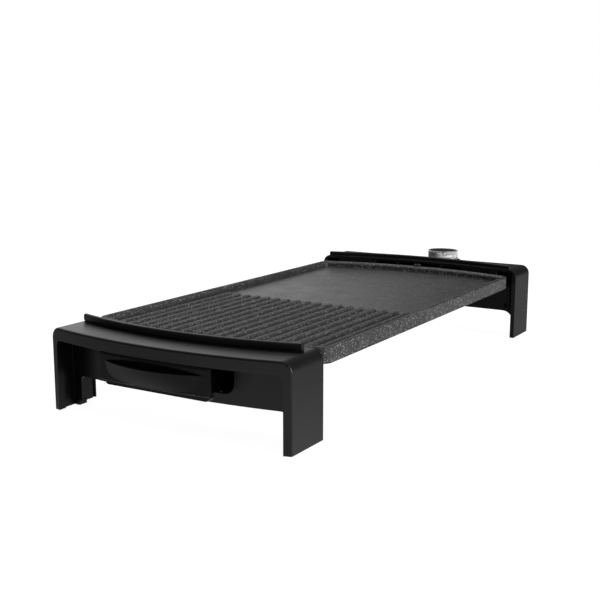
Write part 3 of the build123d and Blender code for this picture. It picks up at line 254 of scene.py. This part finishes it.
def makeMoulding(name, look):
    material, tree, shader, normal = newMaterial(name, look["specular"], look["edge"])
    grain = useGroup(tree, mouldGrain, Grain_Scale=look["grain"])
    tone = grain.outputs["Tone"]
    feed(tree, mixColours(tree, tone, look["dark"], look["light"]), shader.inputs["Base Color"])
    feed(tree, mapRange(tree, tone, *toneSpan, *look["gloss"]), shader.inputs["Roughness"])
    addBump(tree, shader, grain.outputs["Height"], normal, look["bump"], mouldDepth)
    return material


# Speckled non-stick coating on the cast plate, rougher over the ribs
coating = dict(
    ground=(0.016, 0.016, 0.0165),
    haze=(0.026, 0.026, 0.0265),
    greyFleck=(0.082, 0.082, 0.083),
    paleFleck=(0.28, 0.28, 0.28),
    greyScale=900,
    greyShare=0.36,
    paleScale=680,
    paleShare=0.18,
    greyFill=0.42,
    paleFill=0.34,
    grain=1100,
    tone=30,
    bump=0.16,
    bumpDepth=0.06,
    gloss=(0.34, 0.44),
    ribbedEnd=-0.0434,
    ribbedBlend=0.012,
    ribbedRough=0.30,
    specular=0.5,
    edge=2.5,
)


def makeCoating(name, look):
    material, tree, shader, normal = newMaterial(name, look["specular"], look["edge"])
    haze = useGroup(tree, mouldGrain, Grain_Scale=look["grain"], Tone_Scale=look["tone"])
    flecks = {}
    for kind in ("grey", "pale"):
        flecks[kind] = useGroup(
            tree, stoneFlecks, Fleck_Scale=look[kind + "Scale"],
            Share=look[kind + "Share"], Fill=look[kind + "Fill"],
        )
    ground = mixColours(tree, haze.outputs["Tone"], look["ground"], look["haze"])
    for kind, group in flecks.items():
        ground = mixColours(tree, group.outputs["Mask"], ground, look[kind + "Fleck"])
    feed(tree, ground, shader.inputs["Base Color"])
    place = addNode(tree, "ShaderNodeTexCoord")
    parts = addNode(tree, "ShaderNodeSeparateXYZ")
    feed(tree, place.outputs["Object"], parts.inputs[0])
    end = look["ribbedEnd"]
    blend = look["ribbedBlend"]
    ribbed = mapRange(tree, parts.outputs["Y"], end - blend, end + blend, look["ribbedRough"], 0)
    gloss = mapRange(tree, haze.outputs["Tone"], *toneSpan, *look["gloss"])
    feed(tree, calculate(tree, "ADD", gloss, ribbed), shader.inputs["Roughness"])
    addBump(tree, shader, haze.outputs["Height"], normal, look["bump"], look["bumpDepth"])
    return material


# Bare metals
metalDepth = 0.04
metalSpecular = 0.5
metals = {
    "knob_metal": dict(
        dark=(0.62, 0.62, 0.63), light=(0.72, 0.72, 0.73), gloss=(0.36, 0.44),
        streak=(1, 1, 0.08), scale=1400, bump=0.06, edge=0.2,
    ),
    "element_steel": dict(
        dark=(0.10, 0.095, 0.09), light=(0.22, 0.20, 0.18), gloss=(0.45, 0.60),
        streak=(1, 1, 1), scale=500, bump=0.12, edge=0.3,
    ),
    "clip_steel": dict(
        dark=(0.42, 0.42, 0.43), light=(0.55, 0.55, 0.56), gloss=(0.32, 0.42),
        streak=(1, 0.1, 1), scale=1200, bump=0.08, edge=0.2,
    ),
    "pin_steel": dict(
        dark=(0.52, 0.52, 0.53), light=(0.62, 0.62, 0.63), gloss=(0.22, 0.30),
        streak=(1, 0.06, 1), scale=1600, bump=0.06, edge=0.2,
    ),
    "black_screw": dict(
        dark=(0.010, 0.010, 0.0105), light=(0.018, 0.018, 0.0185), gloss=(0.45, 0.55),
        streak=(1, 1, 1), scale=1500, bump=0.06, edge=0.15,
    ),
    "screw_steel": dict(
        dark=(0.26, 0.26, 0.27), light=(0.38, 0.38, 0.39), gloss=(0.34, 0.44),
        streak=(1, 1, 1), scale=1500, bump=0.06, edge=0.15,
    ),
    "contact_brass": dict(
        dark=(0.60, 0.42, 0.15), light=(0.74, 0.54, 0.22), gloss=(0.28, 0.38),
        streak=(1, 0.08, 1), scale=1300, bump=0.06, edge=0.2,
    ),
}


def makeMetal(name, look):
    material, tree, shader, normal = newMaterial(name, metalSpecular, look["edge"])
    along = dict(zip(("Along_X", "Along_Y", "Along_Z"), look["streak"]))
    grain = useGroup(tree, metalGrain, Streak_Scale=look["scale"], **along)
    colour = mixColours(tree, grain.outputs["Tone"], look["dark"], look["light"])
    feed(tree, colour, shader.inputs["Base Color"])
    feed(tree, mapRange(tree, grain.outputs["Height"], *toneSpan, *look["gloss"]), shader.inputs["Roughness"])
    shader.inputs["Metallic"].default_value = 1
    addBump(tree, shader, grain.outputs["Height"], normal, look["bump"], metalDepth)
    return material


# Unglazed beads and the red pilot lens
ceramic = dict(
    dark=(0.62, 0.58, 0.50), light=(0.76, 0.72, 0.64), gloss=(0.65, 0.80),
    specular=0.4, grain=1000, bump=0.15, edge=0.4,
)
lens = dict(
    deep=(0.28, 0.012, 0.008), clear=(0.50, 0.03, 0.02), gloss=(0.08, 0.14),
    specular=0.5, hazeGrain=700, hazeTone=240, through=0.35, edge=0.2,
)


def makeLens(name, look):
    material, tree, shader, normal = newMaterial(name, look["specular"], look["edge"])
    haze = useGroup(tree, mouldGrain, Grain_Scale=look["hazeGrain"], Tone_Scale=look["hazeTone"])
    feed(tree, mixColours(tree, haze.outputs["Tone"], look["deep"], look["clear"]), shader.inputs["Base Color"])
    feed(tree, mapRange(tree, haze.outputs["Tone"], *toneSpan, *look["gloss"]), shader.inputs["Roughness"])
    feed(tree, normal, shader.inputs["Normal"])
    shader.inputs["Transmission Weight"].default_value = look["through"]
    return material


finishes = {slot: makeMoulding(slot, look) for slot, look in mouldings.items()}
finishes.update({slot: makeMetal(slot, look) for slot, look in metals.items()})
finishes["plate_coating"] = makeCoating("plate_coating", coating)
finishes["ceramic"] = makeMoulding("ceramic", ceramic)
finishes["lens_plastic"] = makeLens("lens_plastic", lens)
for name, node in nodes.items():
    node.data.materials.clear()
    node.data.materials.append(finishes[slotOf[name]])
print("materials:", len(finishes))


# Geometry node helpers

def newShapeTree(name, inputs):
    tree = bpy.data.node_groups.new(name, "GeometryNodeTree")
    tree.interface.new_socket(name="Geometry", in_out="INPUT", socket_type="NodeSocketGeometry")
    for label, value in inputs.items():
        kind = "NodeSocketInt" if isinstance(value, int) else "NodeSocketFloat"
        socket = tree.interface.new_socket(name=label, in_out="INPUT", socket_type=kind)
        socket.default_value = value
    tree.interface.new_socket(name="Geometry", in_out="OUTPUT", socket_type="NodeSocketGeometry")
    return tree, tree.nodes.new("NodeGroupInput"), tree.nodes.new("NodeGroupOutput")


def closeShapeTree(tree, geometry, result, material):
    realized = addNode(tree, "GeometryNodeRealizeInstances")
    feed(tree, geometry, realized.inputs[0])
    finish = addNode(tree, "GeometryNodeSetMaterial")
    finish.inputs["Material"].default_value = material
    feed(tree, realized.outputs[0], finish.inputs["Geometry"])
    feed(tree, finish.outputs[0], result.inputs[0])


# Runs a tree on a seed mesh and keeps the result as a plain mesh, moved to its place
def growPiece(name, seed, tree, values, place):
    holder = bpy.data.objects.new(name + "Seed", seed)
    bpy.context.scene.collection.objects.link(holder)
    modifier = holder.modifiers.new(name, "NODES")
    modifier.node_group = tree
    for item in tree.interface.items_tree:
        if item.in_out == "INPUT" and item.name in values:
            modifier[item.identifier] = values[item.name]
    grown = holder.evaluated_get(bpy.context.evaluated_depsgraph_get())
    mesh = bpy.data.meshes.new_from_object(grown)
    holder.modifiers.remove(modifier)
    bpy.data.objects.remove(holder)
    mesh.transform(Matrix.Translation(place))
    piece = bpy.data.objects.new(name, mesh)
    bpy.context.scene.collection.objects.link(piece)
    return piece


# A turned ring from its profile of radius and height, round the Z axis
def turnRing(name, profile, steps):
    shape = bmesh.new()
    rows = []
    for step in range(steps):
        angle = 2 * math.pi * step / steps
        rows.append([shape.verts.new((r * math.cos(angle), r * math.sin(angle), z)) for r, z in profile])
    for step in range(steps):
        here, there = rows[step], rows[(step + 1) % steps]
        for index in range(len(profile)):
            after = (index + 1) % len(profile)
            shape.faces.new((here[index], there[index], there[after], here[after]))
    bmesh.ops.recalc_face_normals(shape, faces=shape.faces)
    mesh = bpy.data.meshes.new(name)
    shape.to_mesh(mesh)
    shape.free()
    return mesh


# Knob ring: a turned band with a smooth rim above and below, and rounded ribs round its middle
knobRing = dict(
    ribs=64, ribRadius=0.62, ribProud=0.55, ribSunk=0.05,
    ribSides=10, ribRows=8, ribTaperFrom=0.375, ribTip=0.4,
    rim=1.0, band=2.4, wall=1.6, round=0.35, steps=192,
)


def makeRibTree(look, material):
    tree, given, result = newShapeTree(
        "knobRibs",
        {
            "Rib Count": look["ribs"], "Rib Radius": 0.0006, "Rib Height": 0.008,
            "Circle Radius": 0.019, "Middle Z": 0.005,
        },
    )
    rib = addNode(tree, "GeometryNodeMeshCylinder")
    rib.inputs["Vertices"].default_value = look["ribSides"]
    rib.inputs["Side Segments"].default_value = look["ribRows"]
    feed(tree, given.outputs["Rib Radius"], rib.inputs["Radius"])
    feed(tree, given.outputs["Rib Height"], rib.inputs["Depth"])
    place = addNode(tree, "GeometryNodeInputPosition")
    parts = addNode(tree, "ShaderNodeSeparateXYZ")
    feed(tree, place.outputs[0], parts.inputs[0])
    upDown = calculate(tree, "ABSOLUTE", parts.outputs["Z"], 0)
    share = calculate(tree, "DIVIDE", upDown, given.outputs["Rib Height"])
    narrow = mapRange(tree, share, look["ribTaperFrom"], 0.5, 1, look["ribTip"])
    across = addNode(tree, "ShaderNodeCombineXYZ")
    feed(tree, calculate(tree, "MULTIPLY", parts.outputs["X"], narrow), across.inputs["X"])
    feed(tree, calculate(tree, "MULTIPLY", parts.outputs["Y"], narrow), across.inputs["Y"])
    feed(tree, parts.outputs["Z"], across.inputs["Z"])
    rounded = addNode(tree, "GeometryNodeSetPosition")
    feed(tree, rib.outputs["Mesh"], rounded.inputs["Geometry"])
    feed(tree, across.outputs[0], rounded.inputs["Position"])
    circle = addNode(tree, "GeometryNodeMeshCircle")
    feed(tree, given.outputs["Rib Count"], circle.inputs["Vertices"])
    feed(tree, given.outputs["Circle Radius"], circle.inputs["Radius"])
    lift = addNode(tree, "ShaderNodeCombineXYZ")
    feed(tree, given.outputs["Middle Z"], lift.inputs["Z"])
    raised = addNode(tree, "GeometryNodeTransform")
    feed(tree, circle.outputs["Mesh"], raised.inputs["Geometry"])
    feed(tree, lift.outputs[0], raised.inputs["Translation"])
    ribs = addNode(tree, "GeometryNodeInstanceOnPoints")
    feed(tree, raised.outputs[0], ribs.inputs["Points"])
    feed(tree, rounded.outputs[0], ribs.inputs["Instance"])
    whole = addNode(tree, "GeometryNodeJoinGeometry")
    feed(tree, given.outputs["Geometry"], whole.inputs[0])
    feed(tree, ribs.outputs[0], whole.inputs[0])
    smooth = addNode(tree, "GeometryNodeSetShadeSmooth")
    feed(tree, whole.outputs[0], smooth.inputs["Geometry"])
    closeShapeTree(tree, smooth.outputs[0], result, material)
    return tree


def makeKnobRing(look):
    low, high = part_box("knob_ring")
    outer = (high[0] - low[0]) / 2
    tall = high[2] - low[2]
    inner = outer - look["wall"] * millimetre
    soft = look["round"] * millimetre
    neck = outer - look["ribProud"] * millimetre
    rim = tall - look["rim"] * millimetre
    band = look["band"] * millimetre
    bend = soft * 0.3  # how far the middle of a rounded edge lies from its corner
    profile = [
        (inner, 0), (outer - soft, 0), (outer - bend, bend), (outer, soft),
        (outer, band - soft), (outer - bend, band - bend), (neck, band),
        (neck, rim), (outer - bend, rim + bend), (outer, rim + soft),
        (outer, tall - soft), (outer - bend, tall - bend), (outer - soft, tall), (inner, tall),
    ]
    seed = turnRing("knobRingSeed", profile, look["steps"])
    ribRadius = look["ribRadius"] * millimetre
    values = {
        "Rib Count": look["ribs"], "Rib Radius": ribRadius, "Rib Height": rim - band,
        "Circle Radius": outer - ribRadius - look["ribSunk"] * millimetre, "Middle Z": (band + rim) / 2,
    }
    place = Vector(((low[0] + high[0]) / 2, (low[1] + high[1]) / 2, low[2]))
    ring = growPiece("knobRing", seed, makeRibTree(look, finishes["knob_metal"]), values, place)
    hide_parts("knob_ring")
    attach(ring, "knob")
    return ring


ring = makeKnobRing(knobRing)
print("knob ring:", knobRing["ribs"], "ribs,", len(ring.data.polygons), "faces")


# Screws with a domed head and a cross recess, at the places of the solid ones
screws = {
    "cover_screws": dict(
        body="base", facing=lambda x, y: (0, -1, 0) if y > 0 else (0, 1, 0),
        head=2.3, tall=1.6, shank=1.4, slot=0.75, deep=0.9,
    ),
    "plate_screws": dict(
        body="base", facing=lambda x, y: (0, 0, -1),
        head=3.6, tall=2.4, shank=1.9, slot=1.1, deep=1.4,
    ),
    "thermostat_screws": dict(
        body="thermostat", facing=lambda x, y: (0, 0, -1),
        head=2.4, tall=2.0, shank=1.3, slot=0.8, deep=1.1,
    ),
}
screwShape = dict(headSides=28, headRows=5, domePower=3, domeTop=0.78, slotReach=1.15, shankSides=18)


def makeScrewTree(name, material):
    tree, given, result = newShapeTree(
        name,
        {
            "Head Radius": 0.002, "Head Height": 0.002, "Shank Radius": 0.001, "Shank Length": 0.008,
            "Slot Width": 0.001, "Slot Depth": 0.001,
        },
    )
    head = addNode(tree, "GeometryNodeMeshCylinder")
    head.inputs["Vertices"].default_value = screwShape["headSides"]
    head.inputs["Side Segments"].default_value = screwShape["headRows"]
    feed(tree, given.outputs["Head Radius"], head.inputs["Radius"])
    feed(tree, given.outputs["Head Height"], head.inputs["Depth"])
    place = addNode(tree, "GeometryNodeInputPosition")
    parts = addNode(tree, "ShaderNodeSeparateXYZ")
    feed(tree, place.outputs[0], parts.inputs[0])
    share = calculate(tree, "DIVIDE", parts.outputs["Z"], given.outputs["Head Height"])
    rise = calculate(tree, "POWER", calculate(tree, "ADD", share, 0.5), screwShape["domePower"])
    narrow = mapRange(tree, rise, 0, 1, 1, screwShape["domeTop"])
    across = addNode(tree, "ShaderNodeCombineXYZ")
    feed(tree, calculate(tree, "MULTIPLY", parts.outputs["X"], narrow), across.inputs["X"])
    feed(tree, calculate(tree, "MULTIPLY", parts.outputs["Y"], narrow), across.inputs["Y"])
    halfHead = calculate(tree, "MULTIPLY", given.outputs["Head Height"], 0.5)
    feed(tree, calculate(tree, "SUBTRACT", parts.outputs["Z"], halfHead), across.inputs["Z"])
    dome = addNode(tree, "GeometryNodeSetPosition")
    feed(tree, head.outputs["Mesh"], dome.inputs["Geometry"])
    feed(tree, across.outputs[0], dome.inputs["Position"])
    carved = addNode(tree, "GeometryNodeMeshBoolean", operation="DIFFERENCE")
    feed(tree, dome.outputs[0], carved.inputs[0])
    wide = calculate(tree, "MULTIPLY", given.outputs["Head Radius"], screwShape["slotReach"])
    deep = calculate(tree, "MULTIPLY", given.outputs["Slot Depth"], 2)
    for first, second in (("X", "Y"), ("Y", "X")):
        size = addNode(tree, "ShaderNodeCombineXYZ")
        feed(tree, wide, size.inputs[first])
        feed(tree, given.outputs["Slot Width"], size.inputs[second])
        feed(tree, deep, size.inputs["Z"])
        slot = addNode(tree, "GeometryNodeMeshCube")
        feed(tree, size.outputs[0], slot.inputs["Size"])
        feed(tree, slot.outputs["Mesh"], carved.inputs[1])
    shank = addNode(tree, "GeometryNodeMeshCylinder")
    shank.inputs["Vertices"].default_value = screwShape["shankSides"]
    feed(tree, given.outputs["Shank Radius"], shank.inputs["Radius"])
    feed(tree, given.outputs["Shank Length"], shank.inputs["Depth"])
    middle = calculate(tree, "MULTIPLY", given.outputs["Shank Length"], -0.5)
    down = addNode(tree, "ShaderNodeCombineXYZ")
    feed(tree, calculate(tree, "SUBTRACT", middle, given.outputs["Head Height"]), down.inputs["Z"])
    sunk = addNode(tree, "GeometryNodeTransform")
    feed(tree, shank.outputs["Mesh"], sunk.inputs["Geometry"])
    feed(tree, down.outputs[0], sunk.inputs["Translation"])
    whole = addNode(tree, "GeometryNodeJoinGeometry")
    feed(tree, carved.outputs[0], whole.inputs[0])
    feed(tree, sunk.outputs[0], whole.inputs[0])
    facing = addNode(tree, "GeometryNodeInputNamedAttribute", data_type="FLOAT_VECTOR")
    facing.inputs["Name"].default_value = "facing"
    turned = addNode(tree, "FunctionNodeAlignRotationToVector", axis="Z")
    feed(tree, facing.outputs[0], turned.inputs["Vector"])
    copies = addNode(tree, "GeometryNodeInstanceOnPoints")
    feed(tree, given.outputs["Geometry"], copies.inputs["Points"])
    feed(tree, whole.outputs[0], copies.inputs["Instance"])
    feed(tree, turned.outputs[0], copies.inputs["Rotation"])
    closeShapeTree(tree, copies.outputs[0], result, material)
    return tree


# The middle of each solid screw's outer face, its facing and its length, four screws to a node
def findScrews(node, facing):
    corners = [vertex.co for vertex in nodes[node].data.vertices]
    middleY = (min(c.y for c in corners) + max(c.y for c in corners)) / 2
    found = []
    for right in (False, True):
        for rear in (False, True):
            own = [c for c in corners if (c.x > 0) == right and (c.y > middleY) == rear]
            low = Vector(min(c[axis] for c in own) for axis in range(3))
            high = Vector(max(c[axis] for c in own) for axis in range(3))
            way = Vector(facing((low.x + high.x) / 2, (low.y + high.y) / 2))
            length = abs((high - low).dot(way))
            found.append(((low + high) / 2 + way * length / 2, way, length))
    return found


for node, look in screws.items():
    found = findScrews(node, look["facing"])
    seed = bpy.data.meshes.new(node + "Places")
    seed.from_pydata([place for place, way, length in found], [], [])
    ways = seed.attributes.new("facing", "FLOAT_VECTOR", "POINT")
    for index, (place, way, length) in enumerate(found):
        ways.data[index].vector = way
    values = {
        "Head Radius": look["head"] * millimetre, "Head Height": look["tall"] * millimetre,
        "Shank Radius": look["shank"] * millimetre, "Shank Length": found[0][2] - look["tall"] * millimetre,
        "Slot Width": look["slot"] * millimetre, "Slot Depth": look["deep"] * millimetre,
    }
    tree = makeScrewTree(node + "Tree", finishes[slotOf[node]])
    piece = growPiece(node + "Crossed", seed, tree, values, Vector((0, 0, 0)))
    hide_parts(node)
    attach(piece, look["body"])
    print("screws:", node, len(piece.data.polygons), "faces")


# Floor and world: white to the camera; reflections show a painted pool of light on the floor (the floor glows,
# for reflections only, strongest near one spot), a large soft panel at the left rear and a dim ceiling
studio = dict(
    floorSize=8.0,
    floorColour=(0.20, 0.20, 0.20),
    floorGlow=0.96,
    floorRough=0.9,
    # painted pool of light on the floor, seen only in reflections: its centre, its reach and its glow from
    # centre to edge
    paintedPoolPlace=(0.19, -0.56, 0),
    paintedPoolReach=(0.15, 0.50),
    paintedPool=(1.0, 0.31),
    panelTowards=(-0.80, 0.50, 0.33),
    panelEdge=(0.83, 0.95),
    panel=(0.06, 1.35),
    ceilingEdge=(0.50, 0.92),
    ceiling=(0.07, 0.55),
    ambient=0.45,
)


def seenDirectly(tree):
    path = addNode(tree, "ShaderNodeLightPath")
    either = calculate(tree, "MAXIMUM", path.outputs["Is Camera Ray"], path.outputs["Is Transmission Ray"])
    return either, path.outputs["Is Glossy Ray"]


def makeFloor():
    material = bpy.data.materials.new("paleFloor")
    material.use_nodes = True
    tree = material.node_tree
    shader = tree.nodes["Principled BSDF"]
    shader.inputs["Base Color"].default_value = (*studio["floorColour"], 1)
    shader.inputs["Roughness"].default_value = studio["floorRough"]
    shader.inputs["Specular IOR Level"].default_value = 0
    glow = addNode(tree, "ShaderNodeEmission")
    place = addNode(tree, "ShaderNodeTexCoord")
    away = addNode(tree, "ShaderNodeVectorMath", operation="DISTANCE")
    feed(tree, place.outputs["Object"], away.inputs[0])
    away.inputs[1].default_value = studio["paintedPoolPlace"]
    # painted pool of light: in reflections the floor glows strongest near one spot and dimmer further out
    paintedPool = mapRange(tree, away.outputs["Value"], *studio["paintedPoolReach"], *studio["paintedPool"])
    direct, mirrored = seenDirectly(tree)
    shown = calculate(tree, "MULTIPLY", direct, studio["floorGlow"])
    paintedPoolGlow = calculate(tree, "MULTIPLY", mirrored, paintedPool)
    feed(tree, calculate(tree, "MAXIMUM", shown, paintedPoolGlow), glow.inputs["Strength"])
    both = addNode(tree, "ShaderNodeAddShader")
    feed(tree, shader.outputs[0], both.inputs[0])
    feed(tree, glow.outputs[0], both.inputs[1])
    feed(tree, both.outputs[0], tree.nodes["Material Output"].inputs["Surface"])
    mesh = bpy.data.meshes.new("floor")
    half = studio["floorSize"] / 2
    corners = [(-half, -half, 0), (half, -half, 0), (half, half, 0), (-half, half, 0)]
    mesh.from_pydata(corners, [], [(0, 1, 2, 3)])
    floor = bpy.data.objects.new("floor", mesh)
    floor.data.materials.append(material)
    bpy.context.scene.collection.objects.link(floor)


def makeWorld():
    world = bpy.data.worlds.new("studio")
    bpy.context.scene.world = world
    world.use_nodes = True
    tree = world.node_tree
    background = tree.nodes["Background"]
    place = addNode(tree, "ShaderNodeTexCoord")
    towards = addNode(tree, "ShaderNodeVectorMath", operation="DOT_PRODUCT")
    feed(tree, place.outputs["Generated"], towards.inputs[0])
    towards.inputs[1].default_value = studio["panelTowards"]
    panel = mapRange(tree, towards.outputs["Value"], *studio["panelEdge"], *studio["panel"])
    parts = addNode(tree, "ShaderNodeSeparateXYZ")
    feed(tree, place.outputs["Generated"], parts.inputs[0])
    ceiling = mapRange(tree, parts.outputs["Z"], *studio["ceilingEdge"], *studio["ceiling"])
    panel = calculate(tree, "MAXIMUM", panel, ceiling)
    direct, mirrored = seenDirectly(tree)
    soft = addNode(tree, "ShaderNodeMix", data_type="FLOAT")
    feed(tree, mirrored, soft.inputs[0])
    soft.inputs[2].default_value = studio["ambient"]
    feed(tree, panel, soft.inputs[3])
    strength = addNode(tree, "ShaderNodeMix", data_type="FLOAT")
    feed(tree, direct, strength.inputs[0])
    feed(tree, soft.outputs[0], strength.inputs[2])
    strength.inputs[3].default_value = 1
    feed(tree, strength.outputs[0], background.inputs["Strength"])
    background.inputs["Color"].default_value = (1, 1, 1, 1)


lamps = {
    "sideLamp": dict(place=(1.7, -0.1, 0.45), aim=(0, 0, 0.05), size=0.6, power=28),
    "topLamp": dict(place=(-0.6, 0.6, 1.7), aim=(0, 0, 0.05), size=1.0, power=7),
}


def makeLamp(name, values):
    data = bpy.data.lights.new(name, "AREA")
    data.size = values["size"]
    data.energy = values["power"]
    lamp = bpy.data.objects.new(name, data)
    lamp.location = values["place"]
    way = Vector(values["aim"]) - Vector(values["place"])
    lamp.rotation_euler = way.to_track_quat("-Z", "Y").to_euler()
    bpy.context.scene.collection.objects.link(lamp)


makeFloor()
makeWorld()
for name, values in lamps.items():
    makeLamp(name, values)
bpy.context.scene.view_settings.view_transform = "Standard"
print("studio: floor, world,", len(lamps), "lamps")


view = dict(place=(0.53505, -0.95383, 0.2728), tilt=79.415, turn=31.316, lens=60.218, sensor=36)
cameraData = bpy.data.cameras.new("camera")
cameraData.lens = view["lens"]
cameraData.sensor_width = view["sensor"]
camera = bpy.data.objects.new("camera", cameraData)
camera.location = view["place"]
camera.rotation_euler = (math.radians(view["tilt"]), 0, math.radians(view["turn"]))
bpy.context.scene.collection.objects.link(camera)
bpy.context.scene.camera = camera
print("camera: set")
